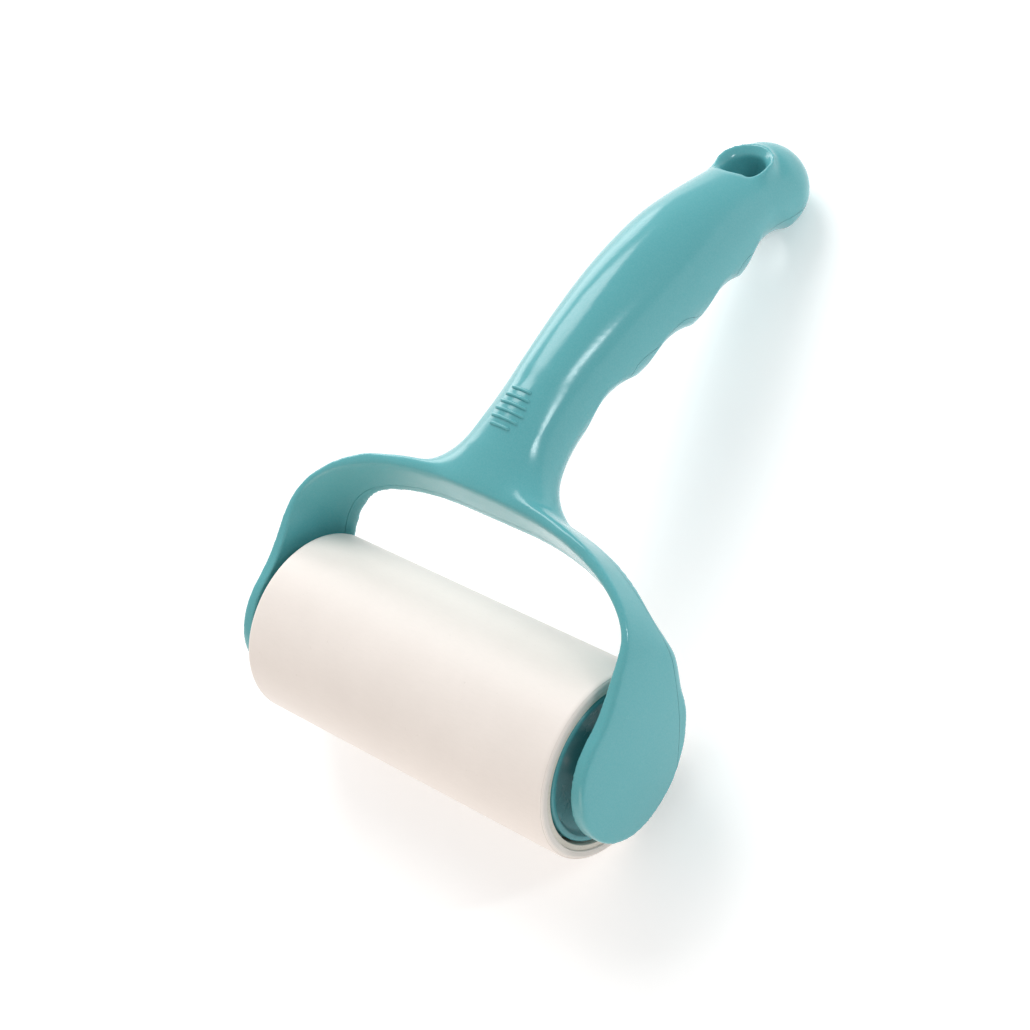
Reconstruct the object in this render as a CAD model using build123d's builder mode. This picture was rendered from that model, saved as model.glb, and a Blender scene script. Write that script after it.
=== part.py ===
from build123d import *
from math import cos, exp, pi, radians, sin
import os

# Lint roller: a refillable roll of sticky sheets that turns on an axle held in a two-armed fork.
#
# Frame, in millimetres: the origin is the roller's centre, +X runs along the axle, +Y towards
# the handle's end and +Z up. The tool lies on a table 24 mm below the origin, touching it with
# the roll and with the underside of the handle's end.

# ------------------------------------------------------------------ driving dimensions
# Sticky refill
ROLL_LENGTH = 100.0
ROLL_RADIUS = 24.0
ROLL_EDGE = 0.6
SHEET_THICKNESS = 0.3
CORE_OUTER_RADIUS = 21.6
CORE_INNER_RADIUS = 20.2
CORE_RECESS = 0.4
WINDING_GAP = 0.02
SHEET_GAP_ANGLE = 1.2         # the outermost sheet stops this short of its own start
SHEET_START_ANGLE = 215.0     # seen from +X, counted from +Y

# Drum that carries the refill
DRUM_RADIUS = 19.5
DRUM_WALL = 1.7
DRUM_HALF_LENGTH = 49.4
CAP_RIM = 2.2
CAP_BOSS_RADIUS = 5.5
CAP_SPIGOT = 6.0
CAP_DISH = 3.4
CAP_EDGE = 0.8
CAP_LAND = 1.1                # width of the flat ring round the dish
CAP_BOSS_START = 41.0
CAP_BOSS_END = 49.0
GRIP_RIB_COUNT = 6
GRIP_RIB_WIDTH = 1.6
GRIP_RIB_CLEARANCE = 0.08

# Axle, and the washers and clips that keep the drum on it
AXLE_RADIUS = 3.0
AXLE_HALF_LENGTH = 53.7
AXLE_FLATS = 4.6
FLAT_START = 51.0
AXLE_CHAMFER = 0.4
RUNNING_GAP = 0.05
WASHER_RADIUS = 5.2
WASHER_THICKNESS = 0.5
CLIP_THICKNESS = 0.7
CLIP_RADIUS = 4.8
CLIP_RELIEF = 0.5
CLIP_TOOTH = 1.4
GROOVE_RADIUS = 2.3

# Fork
FORK_TILT = 8.0               # the fork's depth direction leans this much towards the handle
FORK_HALF_GAP = 54.0
FORK_HALF_WIDTH = 58.6
FORK_RIM_HALF_WIDTH = 56.6
BAR_INNER = 36.7
BAR_THICKNESS = 7.5
BAR_BACK = 18.3
BAR_FRONT = 34.0
TOP_DRAFT = 9.0               # how much the arch loses in height from mid depth to the fork's reach
SIDE_DRAFT = 12.3             # the same for each side; it gains twice as much the other way
CORNER_START = 10.0           # half length of the bar's straight middle
CORNER_HEIGHT = 19.5          # of the arch's inner corners
OUTER_CORNER_HEIGHTS = (5.0, 23.5)    # of its outer ones, at the fork's reach behind and in front
PADDLE_RADIUS = 18.5
PADDLE_CENTRE = (1.5, 1.5)
POCKET_RADIUS = 15.0
POCKET_DEPTH = 3.0
FORK_REACH = 60.0             # longer than the fork in every direction
ARM_RIMS = (-20.0, 24.0)      # heights at which the arms have drawn in to the rim's width
ROOF_HALF_WIDTH = 50.0
ROOF_HEIGHT = 45.0
# the arm's side view as (Y, Z): its front edge, its back edge and the bar's square end
ARM_FRONT = ((1.5, 20.0), (18.0, 24.0), (32.0, 28.6), (46.0, BAR_FRONT))
ARM_BACK = ((40.0, BAR_BACK), (32.0, 12.2), (21.4, -4.0), (8.0, -15.8))
BAR_END = 56.0

# Slots that take the axle's flatted ends
SLOT_WALL = 1.8
SLOT_FACE = 51.2
SLOT_MOUTH = 13.0

# Handle
HANDLE_START = (42.0, 24.0)
HANDLE_TIP = (151.5, -12.0)
TIP_RADIUS = 12.0
NECK_Y = 62.0
NECK_WIDTH = 21.0
BELLY_Y = 118.0
BELLY_WIDTH = 27.8
DEPTH_RATIO = 1.12
FLARE_WIDTH = 40.0
FLARE_LENGTH = 6.5
NECK_FLATNESS = 0.86          # how flat the handle starts, against its full depth
NECK_BLEND = 18.0
SHELL_WALL = 2.2
SEAM_GAP = 0.1
SEAM_DROP = 3.5               # the seam runs this far behind the spine
SEAM_ON_ARM = ((4.0, -18.0), (18.5, -2.3), (29.3, 12.8))
SEAM_ON_BAR = (37.5, 20.8)
SEAM_STATIONS = (0.1, 0.3, 0.5, 0.7, 0.88, 1.0)
VOID_SHIFT = 2.0
FINGER_STATIONS = (0.313, 0.52, 0.731, 0.913)    # along the spine, 0 at the fork and 1 at the tip
FINGER_DEPTH = 3.1
FINGER_RADIUS = 22.5
FINGER_SHIFT = 2.5            # the ring-shaped cutters sit this far off the spine, to spare the front

# Raised thumb ribs on the handle's front
RIB_HEIGHT = 0.55
RIB_WIDTH = 1.1
RIB_PITCH = 2.05
RIB_CENTRE = 63.5
RIB_LENGTHS = (6.3, 8.4, 9.2, 8.4, 7.6, 6.2)

# Hanging hole through the handle's end
HOLE_CENTRE = (146.5, -9.4)
HOLE_TILT = 28.0
HOLE_RADIUS = 5.5
HOLE_WALL = 2.0
LIP_RADIUS = 7.6
LIP_DEPTH = 2.2
LIP_HEIGHT = 12.3
COLLAR_START = 6.0            # the raised collar round the hole, from here out to the lip's height
COLLAR_RADII = (9.6, 7.9)

# Screws that close the handle
SCREW_STATIONS = (0.13, 0.445, 0.815)
SCREW_RADIUS = 1.45
SCREW_LENGTH = 9.0
SCREW_HEAD_RADIUS = 2.7
SCREW_HEAD_HEIGHT = 1.9
RECESS_LENGTH = 2.4
RECESS_WIDTH = 0.7
SCREW_SEAT = SEAM_DROP + 2.6    # from the spine to the underside of the head
BOSS_RADIUS = 3.4
WELL_RADIUS = 4.4

os.makedirs("parts", exist_ok=True)

# ------------------------------------------------------------------ shared planes and curves
fork_plane = Plane(
    origin=(0, 0, 0),
    x_dir=(1, 0, 0),
    z_dir=(0, sin(radians(FORK_TILT)), cos(radians(FORK_TILT))),
)
hole_plane = Plane(
    origin=(0, *HOLE_CENTRE),
    x_dir=(1, 0, 0),
    z_dir=(0, sin(radians(HOLE_TILT)), cos(radians(HOLE_TILT))),
)
spine = Spline(
    (0, *HANDLE_START),
    (0, 62.0, 24.0),
    (0, 90.5, 18.2),
    (0, 120.0, 6.2),
    (0, *HANDLE_TIP),
    tangents=((0, 1, 0.05), (0, 0.84, -0.54)),
)


def ease(start, end, t):
    """Go smoothly from start to end as t goes from 0 to 1."""
    t = min(max(t, 0.0), 1.0)
    return start + (end - start) * (1 - cos(pi * t)) / 2


def section_plane(u):
    """A plane across the spine, u of the way along it."""
    return Plane(origin=spine @ u, x_dir=(1, 0, 0), z_dir=spine % u)


def grip_width(y):
    if y < BELLY_Y:
        return ease(NECK_WIDTH, BELLY_WIDTH, (y - NECK_Y) / (BELLY_Y - NECK_Y))
    return ease(BELLY_WIDTH, 2 * TIP_RADIUS, (y - BELLY_Y) / (HANDLE_TIP[0] - BELLY_Y))


def half_width(u):
    y = (spine @ u).Y
    return (grip_width(y) + FLARE_WIDTH * exp(-(y - HANDLE_START[0]) / FLARE_LENGTH)) / 2


def half_depth(u):
    y = (spine @ u).Y
    towards_tip = ease(DEPTH_RATIO, 1.0, (y - BELLY_Y) / (HANDLE_TIP[0] - BELLY_Y))
    towards_bar = ease(NECK_FLATNESS, 1.0, (y - HANDLE_START[0]) / NECK_BLEND)
    return grip_width(y) * towards_tip * towards_bar / 2


def screw_plane(u):
    """A plane on the spine whose normal points out through the handle's back."""
    return Plane(origin=spine @ u, x_dir=(1, 0, 0), z_dir=section_plane(u).y_dir)


def seam_points(drop):
    """The seam's course in the YZ plane, drop below the spine along the handle."""
    along_handle = [spine @ u + section_plane(u).y_dir * drop for u in SEAM_STATIONS]
    end = along_handle[-1] + (spine % 1) * (TIP_RADIUS + FINGER_SHIFT)
    return [*SEAM_ON_ARM, SEAM_ON_BAR] + [(p.Y, p.Z) for p in along_handle + [end]]


def arch_outline(half_width, top, corner_height):
    """The outline of an arch in the current line context, symmetrical about X = 0."""
    corner_y = BAR_INNER - corner_height
    Line((0, top), (CORNER_START, top))
    EllipticalCenterArc(
        (CORNER_START, corner_y), half_width - CORNER_START, top - corner_y, start_angle=0, arc_size=90
    )
    Line((half_width, corner_y), (half_width, -FORK_REACH))
    Line((half_width, -FORK_REACH), (0, -FORK_REACH))
    mirror(about=Plane.YZ)


flare_stations = [0.0, 0.03, 0.06, 0.09, 0.125, 0.17]
grip_stations = [0.22 + 0.78 * i / 11 for i in range(12)]
void_stations = [0.10 + 0.76 * i / 9 for i in range(10)]
rib_stations = [0.09 + 0.25 * i / 4 for i in range(5)]

# ------------------------------------------------------------------ outer form of fork and handle
with BuildPart() as fork_blank:
    # front view of the fork: an arch with straight arms, thinner at its front rim
    for height, drafts, corner_height in zip((-FORK_REACH, FORK_REACH), (2, -1), OUTER_CORNER_HEIGHTS):
        with BuildSketch(fork_plane.offset(height)):
            with BuildLine():
                arch_outline(
                    FORK_HALF_WIDTH + drafts * SIDE_DRAFT,
                    BAR_INNER + BAR_THICKNESS + drafts * TOP_DRAFT,
                    corner_height,
                )
            make_face()
    loft(ruled=True)
    with BuildSketch(fork_plane.offset(-FORK_REACH)):
        with BuildLine():
            arch_outline(FORK_HALF_GAP, BAR_INNER, CORNER_HEIGHT)
        make_face()
    extrude(amount=2 * FORK_REACH, mode=Mode.SUBTRACT)
    # side view: a round paddle that sweeps up into the bar
    with BuildSketch(Plane.YZ):
        with BuildLine():
            Spline(*ARM_FRONT, tangents=((1, 0), (1, 0.4)))
            Polyline(ARM_FRONT[-1], (BAR_END, BAR_FRONT), (BAR_END, BAR_BACK), ARM_BACK[0])
            Spline(*ARM_BACK, tangents=((-1, 0), (-0.936, -0.351)))
            ThreePointArc(
                ARM_BACK[-1], (PADDLE_CENTRE[0] - PADDLE_RADIUS, PADDLE_CENTRE[1]), ARM_FRONT[0]
            )
        make_face()
    extrude(amount=FORK_REACH + 10, both=True, mode=Mode.INTERSECT)
    # end view: the arms bulge outwards at mid depth
    with BuildSketch(Plane.XZ):
        with BuildLine():
            low_rim = (FORK_RIM_HALF_WIDTH, ARM_RIMS[0])
            high_rim = (FORK_RIM_HALF_WIDTH, ARM_RIMS[1])
            ThreePointArc(low_rim, (FORK_HALF_WIDTH, PADDLE_CENTRE[1]), high_rim)
            Polyline(high_rim, (ROOF_HALF_WIDTH, ROOF_HEIGHT), (0, ROOF_HEIGHT))
            Line(low_rim, (0, ARM_RIMS[0]))
            mirror(about=Plane.YZ)
        make_face()
    extrude(amount=FORK_REACH + 10, both=True, mode=Mode.INTERSECT)

with BuildPart() as grip_blank:
    for u in flare_stations + grip_stations:
        with BuildSketch(section_plane(u)):
            Ellipse(half_width(u), half_depth(u))
    loft()
    with Locations((0, *HANDLE_TIP)):
        Sphere(TIP_RADIUS)

with BuildPart() as casing:
    add(fork_blank.part)
    add(grip_blank.part)
    with Locations(hole_plane.offset(COLLAR_START).location):
        Cone(*COLLAR_RADII, LIP_HEIGHT - COLLAR_START, align=(Align.CENTER, Align.CENTER, Align.MIN))
    # finger grooves, cut by rings that reach the handle's back and sides only
    for u in FINGER_STATIONS:
        ring_radius = half_depth(u) - FINGER_DEPTH + FINGER_SHIFT + FINGER_RADIUS
        with Locations(section_plane(u).location * Location((0, -FINGER_SHIFT, 0))):
            Torus(ring_radius, FINGER_RADIUS, mode=Mode.SUBTRACT)

# the hollow inside the handle
with BuildPart() as void:
    for u in void_stations:
        with BuildSketch(section_plane(u)):
            with Locations((0, -VOID_SHIFT)):
                Ellipse(
                    grip_width((spine @ u).Y) / 2 - SHELL_WALL, half_depth(u) - SHELL_WALL - VOID_SHIFT
                )
    loft()

# everything behind the seam, which the rear cover fills
with BuildPart() as front_limit:
    with BuildSketch(Plane.YZ):
        with BuildLine():
            seam_line = Spline(*seam_points(SEAM_DROP))
            Polyline(seam_line @ 1, ((seam_line @ 1).X, -FORK_REACH), ((seam_line @ 0).X, -FORK_REACH),
                     seam_line @ 0)
        make_face()
    extrude(amount=FORK_REACH + 10, both=True)

with BuildPart() as cover_limit:
    add(front_limit.part.moved(Location((0, 0, -SEAM_GAP))))

# the tube around the hanging hole
with BuildPart() as hole_tube:
    with Locations(hole_plane.location):
        Cylinder(HOLE_RADIUS + HOLE_WALL, 4 * TIP_RADIUS)
    add(casing.part, mode=Mode.INTERSECT)

with BuildPart() as hole_cutter:
    with Locations(hole_plane.location):
        Cylinder(HOLE_RADIUS, 4 * TIP_RADIUS)
    for side in (1, -1):
        lip_plane = Plane(hole_plane.origin, hole_plane.x_dir, hole_plane.z_dir * side).offset(LIP_HEIGHT)
        with Locations(lip_plane.location):
            Cone(HOLE_RADIUS, LIP_RADIUS, LIP_DEPTH, align=(Align.CENTER, Align.CENTER, Align.MAX))

# ------------------------------------------------------------------ handle pieces
# raised ribs under the thumb, which follow the curve of the handle's front
with BuildPart() as thumb_ribs:
    for u in rib_stations:
        with BuildSketch(section_plane(u)):
            Ellipse(half_width(u) + RIB_HEIGHT, half_depth(u) + RIB_HEIGHT)
    loft()
    with BuildSketch(Plane.XY.offset(HANDLE_START[1])):
        first_rib = RIB_CENTRE - RIB_PITCH * (len(RIB_LENGTHS) - 1) / 2
        for i, length in enumerate(RIB_LENGTHS):
            with Locations((0, first_rib + i * RIB_PITCH)):
                SlotOverall(length, RIB_WIDTH)
    extrude(amount=TIP_RADIUS * 2, mode=Mode.INTERSECT)

with BuildPart() as screw_bosses:
    for u in SCREW_STATIONS:
        with Locations(screw_plane(u).location):
            Cylinder(BOSS_RADIUS, half_depth(u), align=(Align.CENTER, Align.CENTER, Align.MAX))
            Cylinder(BOSS_RADIUS, SEAM_DROP + 1, align=(Align.CENTER, Align.CENTER, Align.MIN))
    add(casing.part, mode=Mode.INTERSECT)

with BuildPart() as front_shell:
    add(casing.part)
    add(void.part, mode=Mode.SUBTRACT)
    add(screw_bosses.part)
    add(hole_tube.part)
    add(thumb_ribs.part)
    add(front_limit.part, mode=Mode.SUBTRACT)
    add(hole_cutter.part, mode=Mode.SUBTRACT)
    for side in (1, -1):
        # hollow behind each paddle's inner face, with the slotted rails that hold the axle
        with Locations((side * FORK_HALF_GAP, *PADDLE_CENTRE)):
            Cylinder(POCKET_RADIUS, 2 * POCKET_DEPTH, rotation=(0, 90, 0), mode=Mode.SUBTRACT)
        rail_length = SLOT_MOUTH + AXLE_RADIUS + SLOT_WALL
        rail_depth = FORK_HALF_GAP + POCKET_DEPTH - SLOT_FACE
        with Locations((side * (SLOT_FACE + rail_depth / 2), AXLE_RADIUS + SLOT_WALL - rail_length / 2, 0)):
            Box(rail_depth, rail_length, AXLE_FLATS + 2 * SLOT_WALL)
        slot_length = SLOT_MOUTH + AXLE_RADIUS + RUNNING_GAP + SLOT_WALL
        with Locations((side * (SLOT_FACE + rail_depth / 2), AXLE_RADIUS + RUNNING_GAP - slot_length / 2, 0)):
            Box(rail_depth, slot_length, AXLE_FLATS + 2 * RUNNING_GAP, mode=Mode.SUBTRACT)
    for u in SCREW_STATIONS:
        with Locations(screw_plane(u).location):
            Cylinder(
                SCREW_RADIUS + RUNNING_GAP, SCREW_LENGTH, mode=Mode.SUBTRACT,
                align=(Align.CENTER, Align.CENTER, Align.CENTER),
            )
front_shell.part.label = "front_shell"
export_step(front_shell.part, "parts/front_shell.step")

with BuildPart() as cover_wells:
    for u in SCREW_STATIONS:
        with Locations(screw_plane(u).offset(SEAM_DROP - 1).location):
            Cylinder(WELL_RADIUS, half_depth(u), align=(Align.CENTER, Align.CENTER, Align.MIN))
    add(casing.part, mode=Mode.INTERSECT)

with BuildPart() as rear_cover:
    add(casing.part)
    add(void.part, mode=Mode.SUBTRACT)
    add(cover_wells.part)
    add(hole_tube.part)
    add(cover_limit.part, mode=Mode.INTERSECT)
    add(hole_cutter.part, mode=Mode.SUBTRACT)
    for u in SCREW_STATIONS:
        with Locations(screw_plane(u).location):
            Cylinder(
                SCREW_RADIUS + 2 * RUNNING_GAP, 2 * TIP_RADIUS, mode=Mode.SUBTRACT,
                align=(Align.CENTER, Align.CENTER, Align.MIN),
            )
        with Locations(screw_plane(u).offset(SCREW_SEAT).location):
            Cylinder(
                SCREW_HEAD_RADIUS + 2 * RUNNING_GAP, 2 * TIP_RADIUS, mode=Mode.SUBTRACT,
                align=(Align.CENTER, Align.CENTER, Align.MIN),
            )
rear_cover.part.label = "rear_cover"
export_step(rear_cover.part, "parts/rear_cover.step")

# one screw per boss: a pan head in the cover's well and a shank in the front shell
with BuildPart() as cover_screws:
    for u in SCREW_STATIONS:
        with Locations(screw_plane(u).offset(SCREW_SEAT).location):
            Cylinder(SCREW_HEAD_RADIUS, SCREW_HEAD_HEIGHT, align=(Align.CENTER, Align.CENTER, Align.MIN))
            Cylinder(SCREW_RADIUS, SCREW_LENGTH, align=(Align.CENTER, Align.CENTER, Align.MAX))
        with Locations(screw_plane(u).offset(SCREW_SEAT + SCREW_HEAD_HEIGHT).location):
            Box(RECESS_LENGTH, RECESS_WIDTH, SCREW_HEAD_HEIGHT, mode=Mode.SUBTRACT)
            Box(RECESS_WIDTH, RECESS_LENGTH, SCREW_HEAD_HEIGHT, mode=Mode.SUBTRACT)
cover_screws.part.label = "cover_screws"
export_step(cover_screws.part, "parts/cover_screws.step")

# ------------------------------------------------------------------ axle, washers and clips
washer_x = CAP_BOSS_END + RUNNING_GAP
clip_x = washer_x + WASHER_THICKNESS + RUNNING_GAP

with BuildPart() as axle_rod:
    Cylinder(AXLE_RADIUS, 2 * AXLE_HALF_LENGTH, rotation=(0, 90, 0))
    chamfer(axle_rod.edges().filter_by(GeomType.CIRCLE), AXLE_CHAMFER)
    for side in (1, -1):
        # flats above and below, which keep the rod from turning in its slots
        flat_x = side * (FLAT_START + AXLE_HALF_LENGTH) / 2
        flat_z = (AXLE_FLATS + AXLE_RADIUS) / 2
        with Locations((flat_x, 0, flat_z), (flat_x, 0, -flat_z)):
            Box(AXLE_HALF_LENGTH - FLAT_START, 2 * AXLE_RADIUS, AXLE_RADIUS, mode=Mode.SUBTRACT)
        # groove for the clip
        with BuildSketch(Plane.YZ.offset(side * (clip_x + CLIP_THICKNESS / 2))):
            Circle(2 * AXLE_RADIUS)
            Circle(GROOVE_RADIUS, mode=Mode.SUBTRACT)
        extrude(amount=CLIP_THICKNESS / 2 + RUNNING_GAP / 2, both=True, mode=Mode.SUBTRACT)
axle_rod.part.label = "axle_rod"
export_step(axle_rod.part, "parts/axle_rod.step")

with BuildPart() as thrust_washers:
    for side in (1, -1):
        with BuildSketch(Plane.YZ.offset(side * (washer_x + WASHER_THICKNESS / 2))):
            Circle(WASHER_RADIUS)
            Circle(AXLE_RADIUS + RUNNING_GAP, mode=Mode.SUBTRACT)
        extrude(amount=WASHER_THICKNESS / 2, both=True)
thrust_washers.part.label = "thrust_washers"
export_step(thrust_washers.part, "parts/thrust_washers.step")

# E-shaped clips: a ring with an open side and three teeth that sit in the rod's groove
with BuildPart() as axle_clips:
    for side in (1, -1):
        with BuildSketch(Plane.YZ.offset(side * (clip_x + CLIP_THICKNESS / 2))):
            Circle(CLIP_RADIUS)
            Circle(AXLE_RADIUS + CLIP_RELIEF, mode=Mode.SUBTRACT)
            with PolarLocations((CLIP_RADIUS + GROOVE_RADIUS) / 2, 3, start_angle=90):
                Rectangle(CLIP_RADIUS - GROOVE_RADIUS - CLIP_RELIEF, CLIP_TOOTH)
            Circle(GROOVE_RADIUS + RUNNING_GAP, mode=Mode.SUBTRACT)
            with Locations((0, -CLIP_RADIUS)):
                Rectangle(2 * GROOVE_RADIUS, 2 * CLIP_RADIUS, mode=Mode.SUBTRACT)
        extrude(amount=CLIP_THICKNESS / 2, both=True)
axle_clips.part.label = "axle_clips"
export_step(axle_clips.part, "parts/axle_clips.step")

# ------------------------------------------------------------------ drum
with BuildPart() as drum_tube:
    tube_half_length = DRUM_HALF_LENGTH - CAP_RIM - RUNNING_GAP
    with BuildSketch(Plane.YZ):
        Circle(DRUM_RADIUS)
        with PolarLocations(DRUM_RADIUS, GRIP_RIB_COUNT):
            Rectangle(2 * (CORE_INNER_RADIUS - GRIP_RIB_CLEARANCE - DRUM_RADIUS), GRIP_RIB_WIDTH)
        Circle(DRUM_RADIUS - DRUM_WALL, mode=Mode.SUBTRACT)
    extrude(amount=tube_half_length, both=True)
drum_tube.part.label = "drum_tube"
export_step(drum_tube.part, "parts/drum_tube.step")

# a dished disc with a bearing boss in its middle and a spigot that plugs into the tube
with BuildPart() as right_end_cap:
    with BuildSketch(Plane.XY):
        with BuildLine():
            rim_back = DRUM_HALF_LENGTH - CAP_RIM
            spigot_radius = DRUM_RADIUS - DRUM_WALL - RUNNING_GAP
            dish_bottom = DRUM_HALF_LENGTH - CAP_DISH
            bore_radius = AXLE_RADIUS + RUNNING_GAP
            Polyline(
                (CAP_BOSS_START, bore_radius),
                (CAP_BOSS_END, bore_radius),
                (CAP_BOSS_END, CAP_BOSS_RADIUS),
                (dish_bottom, CAP_BOSS_RADIUS + CAP_EDGE),
                (DRUM_HALF_LENGTH - CAP_EDGE, DRUM_RADIUS - 2 * CAP_EDGE),
                (DRUM_HALF_LENGTH, DRUM_RADIUS - CAP_LAND),
                (DRUM_HALF_LENGTH, DRUM_RADIUS),
                (rim_back, DRUM_RADIUS),
                (rim_back, spigot_radius),
                (rim_back - CAP_SPIGOT, spigot_radius),
                (rim_back - CAP_SPIGOT, spigot_radius - DRUM_WALL),
                (rim_back - CAP_LAND, spigot_radius - DRUM_WALL),
                (dish_bottom - DRUM_WALL, CAP_BOSS_RADIUS),
                (CAP_BOSS_START, CAP_BOSS_RADIUS),
                close=True,
            )
        make_face()
    revolve(axis=Axis.X)
    face_edges = right_end_cap.edges().filter_by(GeomType.CIRCLE).group_by(Axis.X)[-1]
    fillet(face_edges.sort_by(SortBy.RADIUS)[-1], CAP_EDGE)
right_end_cap.part.label = "right_end_cap"
export_step(right_end_cap.part, "parts/right_end_cap.step")

with BuildPart() as left_end_cap:
    mirror(right_end_cap.part, about=Plane.YZ)
left_end_cap.part.label = "left_end_cap"
export_step(left_end_cap.part, "parts/left_end_cap.step")

# ------------------------------------------------------------------ refill
with BuildPart() as core_tube:
    with BuildSketch(Plane.YZ):
        Circle(CORE_OUTER_RADIUS)
        Circle(CORE_INNER_RADIUS, mode=Mode.SUBTRACT)
    extrude(amount=ROLL_LENGTH / 2 - CORE_RECESS, both=True)
core_tube.part.label = "core_tube"
export_step(core_tube.part, "parts/core_tube.step")

with BuildPart() as sheet_roll:
    with BuildSketch(Plane.YZ):
        Circle(ROLL_RADIUS - SHEET_THICKNESS)
        Circle(CORE_OUTER_RADIUS + WINDING_GAP, mode=Mode.SUBTRACT)
    extrude(amount=ROLL_LENGTH / 2, both=True)
    fillet(sheet_roll.edges().filter_by(GeomType.CIRCLE).sort_by(SortBy.RADIUS)[-2:], ROLL_EDGE)
sheet_roll.part.label = "sheet_roll"
export_step(sheet_roll.part, "parts/sheet_roll.step")

# the outermost sheet goes once round and stops just short of its own start
with BuildPart() as outer_sheet:
    with BuildSketch(Plane.XY.rotated((SHEET_START_ANGLE, 0, 0))):
        with Locations((0, ROLL_RADIUS - SHEET_THICKNESS / 2 + WINDING_GAP / 2)):
            Rectangle(ROLL_LENGTH - 2 * ROLL_EDGE, SHEET_THICKNESS - WINDING_GAP)
    revolve(axis=Axis.X, revolution_arc=360 - SHEET_GAP_ANGLE)
outer_sheet.part.label = "outer_sheet"
export_step(outer_sheet.part, "parts/outer_sheet.step")
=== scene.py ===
from math import cos, pi, radians, sin

import bmesh
import bpy
import numpy as np
from mathutils import Euler, Matrix, Vector
from mathutils.bvhtree import BVHTree


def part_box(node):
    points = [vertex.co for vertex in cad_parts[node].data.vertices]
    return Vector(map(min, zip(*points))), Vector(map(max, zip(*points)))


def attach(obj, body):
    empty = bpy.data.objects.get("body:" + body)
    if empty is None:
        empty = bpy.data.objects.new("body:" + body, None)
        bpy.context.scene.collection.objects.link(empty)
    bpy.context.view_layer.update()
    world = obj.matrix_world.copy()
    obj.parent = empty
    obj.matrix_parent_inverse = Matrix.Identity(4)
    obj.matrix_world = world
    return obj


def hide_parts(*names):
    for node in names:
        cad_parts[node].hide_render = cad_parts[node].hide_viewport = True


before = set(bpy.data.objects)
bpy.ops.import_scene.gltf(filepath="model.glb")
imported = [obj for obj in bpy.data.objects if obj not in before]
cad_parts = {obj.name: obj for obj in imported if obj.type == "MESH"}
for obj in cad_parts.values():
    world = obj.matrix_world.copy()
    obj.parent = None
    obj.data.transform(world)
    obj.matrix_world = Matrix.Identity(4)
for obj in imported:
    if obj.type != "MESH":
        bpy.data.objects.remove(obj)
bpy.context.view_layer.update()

# Lint roller. Every length is in metres, in the CAD frame: +X along the axle, +Y towards the
# handle's end, +Z up, with the roll's centre at the origin.

MM = 0.001
TABLE_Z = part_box("outer_sheet")[0].z
LAYER_PITCH = 0.30 * MM       # between the fine lines on the roll's end faces


# ------------------------------------------------------------------ materials
class Shader:
    """A material being built: short calls that add nodes and wire them."""

    def __init__(self, name):
        self.material = bpy.data.materials.new(name)
        self.material.use_nodes = True
        self.tree = self.material.node_tree
        self.surface = self.tree.nodes["Principled BSDF"]
        coordinates = self.tree.nodes.new("ShaderNodeTexCoord")
        self.place = coordinates.outputs["Object"]

    def node(self, kind, inputs=None, **settings):
        made = self.tree.nodes.new(kind)
        for key, value in settings.items():
            setattr(made, key, value)
        for key, value in (inputs or {}).items():
            self.feed(made.inputs[key], value)
        return made

    def feed(self, socket, value):
        if isinstance(value, bpy.types.NodeSocket):
            self.tree.links.new(value, socket)
        else:
            socket.default_value = value

    def set(self, **inputs):
        for key, value in inputs.items():
            self.feed(self.surface.inputs[key.replace("_", " ")], value)

    def scaled(self, scale, rotation=(0, 0, 0)):
        """The object's coordinates, stretched by scale, in cells per metre."""
        return self.node(
            "ShaderNodeMapping", {"Vector": self.place, "Scale": scale, "Rotation": rotation}
        ).outputs["Vector"]

    def noise(self, scale, detail=3.0, roughness=0.55, vector=None, distortion=0.0):
        return self.node(
            "ShaderNodeTexNoise",
            {"Vector": vector or self.place, "Scale": scale, "Detail": detail, "Roughness": roughness,
             "Distortion": distortion},
        ).outputs["Fac"]

    def remap(self, value, low, high, to_low=0.0, to_high=1.0):
        return self.node(
            "ShaderNodeMapRange",
            {"Value": value, "From Min": low, "From Max": high, "To Min": to_low, "To Max": to_high},
        ).outputs["Result"]

    def math(self, operation, a, b=0.0):
        return self.node("ShaderNodeMath", {0: a, 1: b}, operation=operation).outputs["Value"]

    def mix(self, factor, a, b, blend="MIX"):
        made = self.node("ShaderNodeMix", data_type="RGBA", blend_type=blend)
        sockets = {s.identifier: s for s in [*made.inputs, *made.outputs]}
        self.feed(sockets["Factor_Float"], factor)
        self.feed(sockets["A_Color"], a)
        self.feed(sockets["B_Color"], b)
        return sockets["Result_Color"]

    def bump(self, height, distance, strength=1.0, under=None):
        inputs = {"Height": height, "Distance": distance, "Strength": strength}
        if under is not None:
            inputs["Normal"] = under
        return self.node("ShaderNodeBump", inputs).outputs["Normal"]

    def edge_wear(self, low=0.52, high=0.62):
        """1 on convex edges, 0 elsewhere."""
        pointiness = self.node("ShaderNodeNewGeometry").outputs["Pointiness"]
        return self.remap(pointiness, low, high)

    def radius(self):
        """Distance from the axle's axis, in metres."""
        split = self.node("ShaderNodeSeparateXYZ", {"Vector": self.place})
        y2 = self.math("POWER", split.outputs["Y"], 2.0)
        z2 = self.math("POWER", split.outputs["Z"], 2.0)
        return self.math("SQRT", self.math("ADD", y2, z2))


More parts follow.
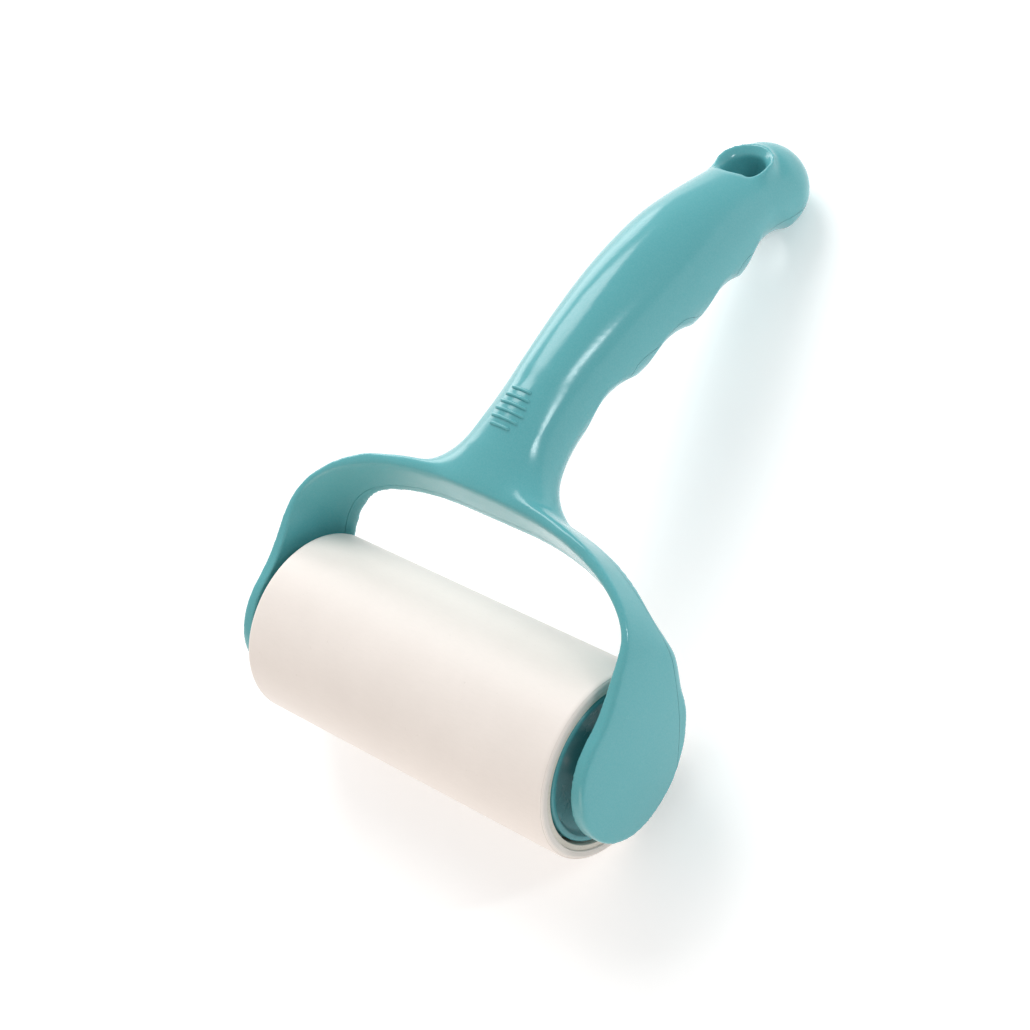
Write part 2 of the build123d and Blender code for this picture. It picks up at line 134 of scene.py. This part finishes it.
def moulded_plastic(name, light, deep, gloss):
    """Glossy injection-moulded plastic with faint flow marks, dulled patches, hairline scratches and
    orange peel."""
    s = Shader(name)
    flow = s.noise(14.0, 4.0, vector=s.scaled((1.0, 0.35, 1.0)), distortion=0.6)
    speck = s.noise(2600.0, 2.0)
    colour = s.mix(s.remap(flow, 0.3, 0.7), light, deep)
    colour = s.mix(s.remap(speck, 0.35, 0.65, 0.0, 0.03), colour, (0.75, 0.9, 0.9, 1))
    worn = s.remap(s.noise(60.0, 4.0), 0.6, 0.75)
    smudge = s.noise(55.0, 5.0, 0.6)
    scratch = s.noise(1.0, 2.0, vector=s.scaled((2600.0, 190.0, 700.0), (0.3, 0.2, 0.5)))
    fine = s.remap(scratch, 0.66, 0.72)
    rough = s.remap(smudge, 0.3, 0.7, gloss, gloss + 0.09)
    rough = s.math("ADD", rough, s.math("MULTIPLY", worn, 0.05))
    rough = s.math("ADD", rough, s.math("MULTIPLY", fine, 0.03))
    peel = s.bump(s.noise(420.0, 2.0), 0.00006, 0.25)
    normal = s.bump(fine, 0.000004, 0.1, under=peel)
    s.set(Base_Color=colour, Roughness=rough, Normal=normal, IOR=1.49)
    s.set(Subsurface_Weight=0.06, Subsurface_Radius=(0.001, 0.002, 0.002), Subsurface_Scale=1.0)
    return s.material


def coated_paper(name):
    """Off-white sticky paper: faint fibres, wound edges on the end faces, a satin adhesive film."""
    s = Shader(name)
    cloud = s.noise(32.0, 5.0, 0.6)
    fibre = s.noise(1.0, 4.0, 0.65, vector=s.scaled((380.0, 1500.0, 1500.0)))
    fleck = s.noise(900.0, 2.0)
    colour = s.mix(s.remap(cloud, 0.3, 0.7), (0.82, 0.755, 0.705, 1), (0.87, 0.805, 0.755, 1))
    colour = s.mix(s.remap(fibre, 0.35, 0.7, 0.0, 0.16), colour, (0.76, 0.71, 0.66, 1))
    colour = s.mix(s.remap(fleck, 0.70, 0.78, 0.0, 0.25), colour, (0.62, 0.56, 0.50, 1))
    radius = s.radius()
    wobble = s.math("MULTIPLY", s.noise(90.0, 3.0), 0.00012)
    layer = s.math("FRACT", s.math("MULTIPLY", s.math("ADD", radius, wobble), 1 / LAYER_PITCH))
    layer = s.math("ABSOLUTE", s.math("SUBTRACT", layer, 0.5))
    face_normal = s.node("ShaderNodeNewGeometry").outputs["True Normal"]
    facing = s.node("ShaderNodeSeparateXYZ", {"Vector": face_normal})
    end_face = s.remap(s.math("ABSOLUTE", facing.outputs["X"]), 0.5, 0.85)
    edge_line = s.math("MULTIPLY", s.remap(layer, 0.30, 0.5), end_face)
    colour = s.mix(s.math("MULTIPLY", edge_line, 0.45), colour, (0.55, 0.50, 0.45, 1))
    rough = s.remap(cloud, 0.3, 0.7, 0.42, 0.55)
    rough = s.math("ADD", rough, s.math("MULTIPLY", end_face, 0.3))
    grain = s.bump(fibre, 0.00004, 0.35)
    normal = s.bump(edge_line, 0.00008, 0.6, under=grain)
    s.set(Base_Color=colour, Roughness=rough, Normal=normal, IOR=1.45)
    return s.material


def cardboard(name):
    """Pale paperboard with visible fibres."""
    s = Shader(name)
    cloud = s.noise(70.0, 5.0, 0.7)
    fibre = s.noise(1.0, 5.0, 0.7, vector=s.scaled((500.0, 1900.0, 1900.0)))
    colour = s.mix(s.remap(cloud, 0.3, 0.7), (0.74, 0.69, 0.60, 1), (0.82, 0.77, 0.69, 1))
    colour = s.mix(s.remap(fibre, 0.4, 0.7, 0.0, 0.35), colour, (0.52, 0.46, 0.38, 1))
    normal = s.bump(fibre, 0.00008, 0.5)
    s.set(Base_Color=colour, Roughness=s.remap(cloud, 0.3, 0.7, 0.78, 0.92), Normal=normal)
    return s.material


def drawn_steel(name, tint, rough):
    """Bright steel with fine lines along X and a few dull spots."""
    s = Shader(name)
    line = s.noise(1.0, 3.0, 0.6, vector=s.scaled((220.0, 5200.0, 5200.0)))
    dull = s.noise(260.0, 4.0, 0.6)
    colour = s.mix(s.remap(dull, 0.35, 0.75), tint, tuple(0.78 * c for c in tint[:3]) + (1,))
    worn = s.math("MULTIPLY", s.edge_wear(), 0.3)
    colour = s.mix(worn, colour, (0.9, 0.9, 0.9, 1))
    roughness = s.remap(line, 0.3, 0.7, rough, rough + 0.14)
    roughness = s.math("ADD", roughness, s.remap(dull, 0.6, 0.8, 0.0, 0.12))
    s.set(Base_Color=colour, Metallic=1.0, Roughness=roughness, Normal=s.bump(line, 0.00001, 0.3))
    return s.material


def table_surface(name):
    """Pale matt board, faintly lit from below, with a barely visible mottle."""
    s = Shader(name)
    mottle = s.noise(9.0, 4.0)
    colour = s.mix(s.remap(mottle, 0.3, 0.7), (0.90, 0.90, 0.90, 1), (0.92, 0.92, 0.92, 1))
    grain = s.bump(s.noise(700.0), 0.0001, 0.05)
    s.set(Base_Color=colour, Roughness=0.9, Specular_IOR_Level=0.1, Normal=grain)
    s.set(Emission_Color=(1, 1, 1, 1), Emission_Strength=0.24)
    return s.material


teal = moulded_plastic("handle_plastic", (0.100, 0.395, 0.425, 1), (0.086, 0.355, 0.385, 1), 0.15)
drum_teal = moulded_plastic("drum_plastic", (0.088, 0.36, 0.39, 1), (0.076, 0.325, 0.355, 1), 0.2)
paper = coated_paper("sheet_paper")
card = cardboard("core_cardboard")
steel = drawn_steel("axle_steel", (0.66, 0.66, 0.68, 1), 0.2)
zinc = drawn_steel("screw_steel", (0.60, 0.62, 0.66, 1), 0.28)


# ------------------------------------------------------------------ mesh helpers
GRID_TURN = Euler((0.41, 0.57, 0.33))


def new_piece(name, mesh, body, material, replaced):
    """A piece of the given body that stands for the CAD nodes it replaces."""
    piece = bpy.data.objects.new(name, mesh)
    bpy.context.scene.collection.objects.link(piece)
    mesh.materials.clear()
    mesh.materials.append(material)
    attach(piece, body)
    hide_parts(*replaced)


def baked(piece):
    """The piece's mesh with its modifiers applied."""
    bpy.context.view_layer.update()
    graph = bpy.context.evaluated_depsgraph_get()
    return bpy.data.meshes.new_from_object(piece.evaluated_get(graph))


def remeshed(mesh, voxel):
    """The mesh rebuilt from even quads, voxel metres across, on a turned grid that no flat face
    lies along."""
    turn = GRID_TURN.to_matrix().to_4x4()
    mesh.transform(turn)
    holder = bpy.data.objects.new("holder", mesh)
    bpy.context.scene.collection.objects.link(holder)
    modifier = holder.modifiers.new("voxels", "REMESH")
    modifier.mode = "VOXEL"
    modifier.voxel_size = voxel
    result = baked(holder)
    bpy.data.objects.remove(holder)
    result.transform(turn.inverted())
    return result


def points_of(mesh):
    """The mesh's points as rows of x, y and z."""
    points = np.zeros(len(mesh.vertices) * 3, np.float32)
    mesh.vertices.foreach_get("co", points)
    return points.reshape(-1, 3)


def normals_of(mesh):
    normals = np.zeros(len(mesh.vertices) * 3, np.float32)
    mesh.vertices.foreach_get("normal", normals)
    return normals.reshape(-1, 3)


def spread(mesh, values, weights, rounds, recoil=0.0):
    """Values at a mesh's points, each drawn towards its neighbours' mean as far as its weight allows.
    With a recoil, every round is followed by a push the other way, which spares the mesh's volume."""
    edges = np.zeros(len(mesh.edges) * 2, np.int64)
    mesh.edges.foreach_get("vertices", edges)
    a, b = edges.reshape(-1, 2).T
    size = len(values)
    count = np.bincount(a, minlength=size) + np.bincount(b, minlength=size)
    count = np.maximum(count, 1)[:, None]
    values = values.copy()
    pulls = (0.5, -recoil) if recoil else (0.5,)
    for _ in range(rounds):
        for pull in pulls:
            total = np.stack([
                np.bincount(a, column[b], size) + np.bincount(b, column[a], size)
                for column in values.T
            ], axis=1)
            values += (pull * weights)[:, None] * (total / count - values)
    return values


def smoothed(mesh, weights, rounds, recoil=0.0):
    points = spread(mesh, points_of(mesh).astype(np.float64), weights, rounds, recoil)
    mesh.vertices.foreach_set("co", points.astype(np.float32).ravel())
    mesh.update()
    return mesh


def soft_shade(mesh, sharp_angle=40):
    """The mesh shaded smooth, but for edges sharper than sharp_angle degrees."""
    mesh.shade_smooth()
    mesh.set_sharp_from_angle(angle=radians(sharp_angle))
    return mesh


def rounded(corners, steps=6):
    """The closed outline through (x, radius, fillet) corners, in millimetres, with arcs for fillets."""
    outline = []
    count = len(corners)
    for i, (x, r, fillet) in enumerate(corners):
        here = np.array((x, r), float)
        if fillet == 0:
            outline.append(here)
            continue
        before = np.array(corners[i - 1][:2]) - here
        after = np.array(corners[(i + 1) % count][:2]) - here
        before /= np.linalg.norm(before)
        after /= np.linalg.norm(after)
        half_angle = np.arccos(np.clip(before @ after, -1, 1)) / 2
        middle = before + after
        middle /= np.linalg.norm(middle)
        centre = here + middle * fillet / sin(half_angle)
        start = here + before * fillet / np.tan(half_angle) - centre
        end = here + after * fillet / np.tan(half_angle) - centre
        for k in range(steps + 1):
            t = k / steps
            along = (1 - t) * start + t * end
            outline.append(centre + along / np.linalg.norm(along) * fillet)
    return [(x * MM, r * MM) for x, r in outline]


def lathe(profile, steps=256, start=0.0, sweep=2 * pi):
    """A closed outline of (x, radius) points turned about X, all the way round or through sweep."""
    full = sweep > 2 * pi - 1e-6
    bm = bmesh.new()
    rings = []
    for i in range(steps if full else steps + 1):
        turn = start + sweep * i / steps
        rings.append([bm.verts.new((x, r * cos(turn), r * sin(turn))) for x, r in profile])
    for i in range(steps):
        ring, following = rings[i], rings[(i + 1) % len(rings)]
        for j in range(len(profile)):
            k = (j + 1) % len(profile)
            bm.faces.new((ring[j], ring[k], following[k], following[j]))
    if not full:
        bm.faces.new(rings[0])
        bm.faces.new(rings[-1])
    bmesh.ops.recalc_face_normals(bm, faces=bm.faces)
    return from_bmesh("lathe", bm)


def from_bmesh(name, bm):
    mesh = bpy.data.meshes.new(name)
    bm.to_mesh(mesh)
    bm.free()
    return mesh


def carved(mesh, tool, operation):
    """The mesh with tool cut away, kept or added."""
    holder = bpy.data.objects.new("holder", mesh)
    helper = bpy.data.objects.new("helper", tool)
    for made in (holder, helper):
        bpy.context.scene.collection.objects.link(made)
    modifier = holder.modifiers.new("carve", "BOOLEAN")
    modifier.operation = operation
    modifier.solver = "MANIFOLD"
    modifier.object = helper
    result = baked(holder)
    bpy.data.objects.remove(holder)
    bpy.data.objects.remove(helper)
    return result


def largest_part(mesh):
    """The mesh without any crumb that does not touch its main body."""
    bm = bmesh.new()
    bm.from_mesh(mesh)
    bm.verts.ensure_lookup_table()
    group = np.full(len(bm.verts), -1)
    for start in bm.verts:
        if group[start.index] >= 0:
            continue
        group[start.index] = start.index
        waiting = [start]
        while waiting:
            for edge in waiting.pop().link_edges:
                for vert in edge.verts:
                    if group[vert.index] < 0:
                        group[vert.index] = start.index
                        waiting.append(vert)
    main = np.bincount(group).argmax()
    crumbs = [bm.verts[i] for i in np.flatnonzero(group != main)]
    bmesh.ops.delete(bm, geom=crumbs, context="VERTS")
    return from_bmesh("body", bm)


def fade(values, start, end):
    """0 before start and 1 after end, in between a smooth step."""
    t = np.clip((values - start) / (end - start), 0, 1)
    return t * t * (3 - 2 * t)


def rise(values, start, end):
    """fade with its limits in millimetres."""
    return fade(values, start * MM, end * MM)


def band(values, start, full, fall, end):
    """1 from full to fall and 0 outside start to end, all in millimetres."""
    return rise(values, start, full) * (1 - rise(values, fall, end))


# ------------------------------------------------------------------ handle shells
FULL_VOXEL = 0.4 * MM
VOXEL = FULL_VOXEL
SEAM_GAP = 0.1 * MM           # between the CAD shells
SEAM_LINE = 0.18 * MM         # between the visual ones, a touch wider to read as a line
SEAM_DEPTH = 0.8 * MM         # how far in from the skin that line runs
TONGUE_GAP = 0.02 * MM        # between the shells, further in
SHELL_LIFT = 1.5 * SEAM_GAP   # what makes the two CAD shells meet
RECOIL = 0.52
GIVEN_BACK = 0.5              # of what rounding took from the convex edges
RIB_HEIGHT = 0.65 * MM
RIB_WIDTH = 1.0 * MM
RIB_PITCH = 2.05 * MM
RIB_CENTRE = 63.5 * MM
RIB_LENGTHS = (6.3, 8.4, 9.2, 8.4, 7.6, 6.2)
RIB_SINK = 0.05 * MM
# the fork's inner arch
ARCH_STRAIGHT = 10 * MM       # half the length of its straight middle
ARCH_HALF_WIDTH = 54 * MM
ARCH_TOP = 36.7 * MM
ARCH_CORNER = 19.5 * MM       # its corners' height


def seam_curve():
    """The seam's course as (y, z) points, read off the rear cover's mating face."""
    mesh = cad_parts["rear_cover"].data
    on_seam = set()
    for face in mesh.polygons:
        if abs(face.normal.x) < 1e-3 and face.normal.z > 0.3:
            on_seam.update(face.vertices)
    found = sorted({(round(mesh.vertices[i].co.y, 6), mesh.vertices[i].co.z) for i in on_seam})
    y, z = np.array(found).T
    smooth_y = np.linspace(y[0], y[-1], 240)
    smooth_z = np.interp(smooth_y, y, z)
    for _ in range(12):
        smooth_z[1:-1] += 0.5 * ((smooth_z[:-2] + smooth_z[2:]) / 2 - smooth_z[1:-1])
    return smooth_y, smooth_z + SEAM_GAP / 2


def joined_shells():
    """Both shells as one mesh, the rear one lifted to close the gap between them."""
    bm = bmesh.new()
    for node, lift in (("front_shell", 0.0), ("rear_cover", SHELL_LIFT)):
        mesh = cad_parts[node].data.copy()
        mesh.transform(Matrix.Translation((0, 0, lift)))
        bm.from_mesh(mesh)
    return from_bmesh("shells", bm)


def outside_arch(points):
    """How far outside the fork's inner arch each point lies: 0 on it, about 1 well away."""
    across = np.maximum(np.abs(points[:, 0]) - ARCH_STRAIGHT, 0)
    up = np.maximum(points[:, 1] - (ARCH_TOP - ARCH_CORNER), 0)
    return np.hypot(across / (ARCH_HALF_WIDTH - ARCH_STRAIGHT), up / ARCH_CORNER) - 1


def rounded_casing(seam_y, seam_z):
    """The closed handle with its edges rounded: least on the arch's inner edges, most on the outer
    front edge, where the handle flows into the fork, and where the ribs will be set."""
    mesh = remeshed(joined_shells(), VOXEL)

    def rounds(count):
        """As many rounds as spread as far as count rounds do at full fineness."""
        return max(1, int(count * (FULL_VOXEL / VOXEL) ** 2))

    points = points_of(mesh).astype(np.float64)
    x, y, z = np.abs(points[:, 0]), points[:, 1], points[:, 2]
    clear = outside_arch(points)
    near_arch = 1 - fade(clear, 0.02, 0.07)
    off_arch = fade(clear, 0.03, 0.09)
    above_seam = z - np.interp(y, seam_y, seam_z)
    in_fork = 1 - rise(y, 50, 58)

    everywhere = np.ones(len(points))
    inner_edge = in_fork * near_arch * rise(above_seam, 0, 3)
    outer_edge = in_fork * off_arch * rise(above_seam, 3, 9)
    elbow = rise(x, 44, 50) * band(y, 20, 25, 36, 42) * off_arch * (1 - rise(z, 14, 20))
    neck = rise(z, 22, 27) * band(y, 40, 43, 54, 60)
    back_edge = in_fork * (1 - rise(above_seam, -2.5, -0.5)) * (1 - fade(clear, 0.03, 0.1))
    hole = rise(z, -8, -2) * band(y, 126, 132, 148, 154)
    ribs = rise(z, 20, 24) * (1 - rise(x, 7, 9)) * band(y, 52, 56, 71, 76)

    smoothed(mesh, everywhere, rounds(24), RECOIL)
    start = points_of(mesh).astype(np.float64)
    smoothed(mesh, 1 - 0.7 * inner_edge, rounds(12))
    for place, count in (
        (outer_edge, 45), (elbow, 170), (neck, 70), (back_edge, 45), (hole, 100), (ribs, 160),
    ):
        smoothed(mesh, place, rounds(count))

    # give back part of what the convex edges lost, so that the outline stays where it was
    normals = normals_of(mesh)
    now = points_of(mesh).astype(np.float64)
    lost = np.clip(((start - now) * normals).sum(axis=1), 0, 1.5 * MM)
    lost *= 1 - np.max((ribs, neck, elbow, back_edge, hole), axis=0)
    lost = spread(mesh, lost[:, None], everywhere, rounds(10))
    restored = now + GIVEN_BACK * lost * normals
    mesh.vertices.foreach_set("co", restored.astype(np.float32).ravel())
    mesh.update()
    return mesh


def seam_cutter(seam_y, seam_z, drop):
    """A prism that fills everything behind the seam, lowered by drop. It carries the seam's course on
    a little past both ends of the handle."""
    deep = -80 * MM
    reach = 90 * MM
    seam = np.stack((seam_y, seam_z), axis=1)
    first = 2 * seam[0] - seam[4]
    last = 9 * seam[-1] - 8 * seam[-2]
    outline = [(first[0], deep), first, *seam, last, (last[0], deep)]
    bm = bmesh.new()
    sides = [
        [bm.verts.new((side * reach, y, z - drop)) for y, z in outline] for side in (1, -1)
    ]
    for i in range(len(outline)):
        j = (i + 1) % len(outline)
        bm.faces.new((sides[0][i], sides[0][j], sides[1][j], sides[1][i]))
    bm.faces.new(sides[0])
    bm.faces.new(reversed(sides[1]))
    bmesh.ops.recalc_face_normals(bm, faces=bm.faces)
    return from_bmesh("seam_cutter", bm)


def shrunk(mesh, depth):
    """The mesh with its skin drawn in by depth."""
    inner = mesh.copy()
    inner.vertices.foreach_set("co", (points_of(inner) - depth * normals_of(inner)).ravel())
    return smoothed(inner, np.ones(len(inner.vertices)), 6)


def thumb_ribs(casing):
    """Low rounded bars across the handle's front, sunk a little into the casing."""
    points = points_of(casing)
    faces = [tuple(face.vertices) for face in casing.polygons]
    surface = BVHTree.FromPolygons([Vector(p) for p in points], faces)
    bm = bmesh.new()
    around = 16
    high_above = 60 * MM
    half_width = RIB_WIDTH / 2
    for i, length in enumerate(RIB_LENGTHS):
        y = RIB_CENTRE + (i - (len(RIB_LENGTHS) - 1) / 2) * RIB_PITCH
        half = length * MM / 2
        straight = half - half_width
        rings = []
        stations = [-half + half_width * (1 - cos(pi / 2 * k / 6)) for k in range(1, 6)]
        stations += list(np.linspace(-straight, straight, 15))
        stations += [-x for x in reversed(stations[:5])]
        for x in stations:
            past = max(abs(x) - straight, 0) / half_width
            size = max(1 - past ** 2, 0.01) ** 0.5
            skin = surface.ray_cast(Vector((x, y, high_above)), Vector((0, 0, -1)))[0]
            rings.append([
                bm.verts.new(skin + Vector((
                    0, half_width * cos(turn), RIB_HEIGHT * sin(turn) - RIB_SINK
                )) * size)
                for turn in np.linspace(0, 2 * pi, around, endpoint=False)
            ])
        for one, other in zip(rings, rings[1:]):
            for k in range(around):
                m = (k + 1) % around
                bm.faces.new((one[k], one[m], other[m], other[k]))
        bm.faces.new(rings[0])
        bm.faces.new(rings[-1])
    bmesh.ops.recalc_face_normals(bm, faces=bm.faces)
    return from_bmesh("thumb_ribs", bm)


seam_y, seam_z = seam_curve()
casing = rounded_casing(seam_y, seam_z)
front = carved(casing.copy(), seam_cutter(seam_y, seam_z, 0.0), "DIFFERENCE")
front = carved(largest_part(front), thumb_ribs(casing), "UNION")
# inside the seam's line the rear shell stands up almost to the front one, so that no light shows
# through between them
tongue = shrunk(casing, SEAM_DEPTH)
tongue = carved(tongue, seam_cutter(seam_y, seam_z, TONGUE_GAP), "INTERSECT")
rear = carved(casing, seam_cutter(seam_y, seam_z, SEAM_LINE), "INTERSECT")
rear = largest_part(carved(rear, tongue, "UNION"))
for node, shell in (("front_shell", front), ("rear_cover", rear)):
    new_piece(node + "_moulding", soft_shade(shell), "handle", teal, (node,))


# ------------------------------------------------------------------ refill and end caps
# lengths here are in millimetres
ROLL_EDGE = 0.9               # radius of the roll's rounded outer corners
LAYER = 0.15                  # thickness of a wound layer in the end faces' relief
CORE_WALL = 1.4
SHEET_THICKNESS = 0.28
WINDING_DEPTH = 0.3           # from the outermost sheet's surface to the winding under it
SHEET_START = radians(215)    # the free edge's place round the axle
SHEET_SWEEP = radians(358.8)


def half_size(node):
    """Half a node's length along X, its outer radius: both in millimetres."""
    low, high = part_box(node)
    return (high.x - low.x) / 2 / MM, (high.z - low.z) / 2 / MM


def winding_profile(half_length, outer, inner):
    """The wound sheets in section: rounded outer corners and slightly uneven layers at both ends."""
    random = np.random.default_rng(7)
    layers = np.arange(inner + LAYER, outer - ROLL_EDGE, LAYER)
    ends = [half_length - random.uniform(0.0, 0.06, len(layers)) for _ in range(2)]
    corner = [
        (half_length - ROLL_EDGE * (1 - sin(t)), outer - ROLL_EDGE * (1 - cos(t)))
        for t in np.linspace(0, pi / 2, 9)
    ]
    right = corner + list(zip(ends[0], layers))[::-1] + [(half_length - 0.1, inner)]
    left = corner + list(zip(ends[1], layers))[::-1] + [(half_length - 0.1, inner)]
    return [(x * MM, r * MM) for x, r in right + [(-x, r) for x, r in reversed(left)]]


def sheet_profile(half_length, outer, thickness):
    """The outermost sheet in section: it bends down over the winding's rounded corners."""
    top, under = [], []
    for t in np.linspace(0, 1, 9):
        x = half_length - ROLL_EDGE * (1 - t) + 0.15 * t
        bend = ROLL_EDGE * (1 - (1 - min(t * 0.68, 1) ** 2) ** 0.5)
        top.append((x, outer - bend * 1.15))
        under.append((x, outer - thickness * (1 - 0.35 * t) - bend))
    right = top + under[::-1]
    return [(x * MM, r * MM) for x, r in right + [(-x, r) for x, r in reversed(right)]]


def cap_profile(side):
    """An end cap in section, as (x, radius, fillet) corners."""
    low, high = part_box("right_end_cap" if side > 0 else "left_end_cap")
    face = (high.x if side > 0 else -low.x) / MM
    _, rim = half_size("right_end_cap")
    bore, boss = 3.05, 5.5
    spigot, lining = rim - 1.75, rim - 3.45
    corners = (
        # the boss and its bore
        (face - 8.4, bore, 0.0), (face - 0.4, bore, 0.25), (face - 0.4, boss, 0.5),
        # the dish and the rim
        (face - 3.4, 6.3, 1.4), (face - 1.4, 17.2, 1.2), (face, 18.1, 0.45), (face, rim, 0.7),
        (face - 2.2, rim, 0.2),
        # the spigot
        (face - 2.2, spigot, 0.0), (face - 8.2, spigot, 0.3), (face - 8.2, lining, 0.3),
        # the back of the dish and of the boss
        (face - 3.6, lining, 0.0), (face - 5.1, boss, 0.0), (face - 8.4, boss, 0.3),
    )
    return [(side * x, r) for x, r in rounded(corners)]


roll_half, _ = half_size("sheet_roll")
sheet_half, roll_radius = half_size("outer_sheet")
core_half, core_radius = half_size("core_tube")
core_bore = core_radius - CORE_WALL
winding = lathe(winding_profile(roll_half, roll_radius - WINDING_DEPTH, core_radius + 0.02))
sheet = lathe(
    sheet_profile(sheet_half, roll_radius, SHEET_THICKNESS), start=SHEET_START, sweep=SHEET_SWEEP
)
core = lathe(rounded((
    (core_half, core_bore, 0.2), (core_half, core_radius, 0.2),
    (-core_half, core_radius, 0.2), (-core_half, core_bore, 0.2),
)))
new_piece("winding", soft_shade(winding, 70), "roller", paper, ("sheet_roll",))
new_piece("top_sheet", soft_shade(sheet, 50), "roller", paper, ("outer_sheet",))
new_piece("core", soft_shade(core), "roller", card, ("core_tube",))
for side, node in ((1, "right_end_cap"), (-1, "left_end_cap")):
    cap = soft_shade(lathe(cap_profile(side)), 50)
    new_piece(node + "_moulding", cap, "roller", drum_teal, (node,))


# ------------------------------------------------------------------ CAD nodes shown as they are
for node, material, edge in (
    ("cover_screws", zinc, 0.3),
    ("axle_rod", steel, 0.12),
    ("thrust_washers", steel, 0.08),
    ("axle_clips", steel, 0.1),
    ("drum_tube", drum_teal, 0.15),
):
    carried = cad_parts[node]
    carried.data.materials.clear()
    carried.data.materials.append(material)
    bevel = carried.modifiers.new("soft_edges", "BEVEL")
    bevel.width = edge * MM
    bevel.segments = 3
    bevel.limit_method = "ANGLE"
    bevel.angle_limit = radians(40)


# ------------------------------------------------------------------ table, light and camera
def studio():
    """A wide table under an even white surround."""
    half = 3.0
    bm = bmesh.new()
    bm.faces.new([
        bm.verts.new((x * half, y * half, TABLE_Z)) for x, y in ((-1, -1), (1, -1), (1, 1), (-1, 1))
    ])
    mesh = from_bmesh("table", bm)
    mesh.materials.append(table_surface("table_surface"))
    table = bpy.data.objects.new("table", mesh)
    bpy.context.scene.collection.objects.link(table)
    world = bpy.data.worlds.new("studio")
    world.use_nodes = True
    background = world.node_tree.nodes["Background"]
    background.inputs["Color"].default_value = (1, 1, 1, 1)
    background.inputs["Strength"].default_value = 0.60
    bpy.context.scene.world = world


def softbox(name, place, aim, size, power, colour=(1, 1, 1)):
    """A rectangular light at place, facing aim; power is in watts."""
    light = bpy.data.lights.new(name, "AREA")
    light.shape = "RECTANGLE"
    light.size, light.size_y = size
    light.energy = power
    light.color = colour
    box = bpy.data.objects.new(name, light)
    box.location = place
    box.rotation_mode = "QUATERNION"
    box.rotation_quaternion = (Vector(aim) - Vector(place)).to_track_quat("-Z", "Y")
    bpy.context.scene.collection.objects.link(box)


AIM = Vector((-0.004, 0.0445, 0.008))
CAMERA_DISTANCE = 0.629
CAMERA_AZIMUTH = radians(78.07)
CAMERA_ELEVATION = radians(52.15)
CAMERA_ROLL = radians(-51.63)
CAMERA_LENS = 89.04


def camera():
    data = bpy.data.cameras.new("camera")
    data.lens = CAMERA_LENS
    data.clip_start, data.clip_end = 0.01, 20
    made = bpy.data.objects.new("camera", data)
    bpy.context.scene.collection.objects.link(made)
    back = Vector((
        sin(CAMERA_AZIMUTH) * cos(CAMERA_ELEVATION),
        -cos(CAMERA_AZIMUTH) * cos(CAMERA_ELEVATION),
        sin(CAMERA_ELEVATION),
    ))
    level = Vector((cos(CAMERA_AZIMUTH), sin(CAMERA_AZIMUTH), 0))
    right = Matrix.Rotation(CAMERA_ROLL, 3, back) @ level
    made.rotation_mode = "QUATERNION"
    made.rotation_quaternion = Matrix((right, back.cross(right), back)).transposed().to_quaternion()
    made.location = AIM + back * CAMERA_DISTANCE
    bpy.context.scene.camera = made


studio()
softbox("key", (-0.42, 0.52, 0.68), AIM, (0.5, 0.5), 4.4)
softbox("edge", (-0.56, 0.36, 0.12), AIM, (0.5, 0.24), 1.3)
softbox("streak", (0.49, 0.29, 0.32), AIM, (0.026, 0.16), 0.6, (0.92, 0.98, 1.0))
softbox("warm_fill", (0.05, -0.7, 0.2), AIM, (0.6, 0.4), 1.3, (1.0, 0.84, 0.72))
camera()
bpy.context.scene.view_settings.view_transform = "Standard"
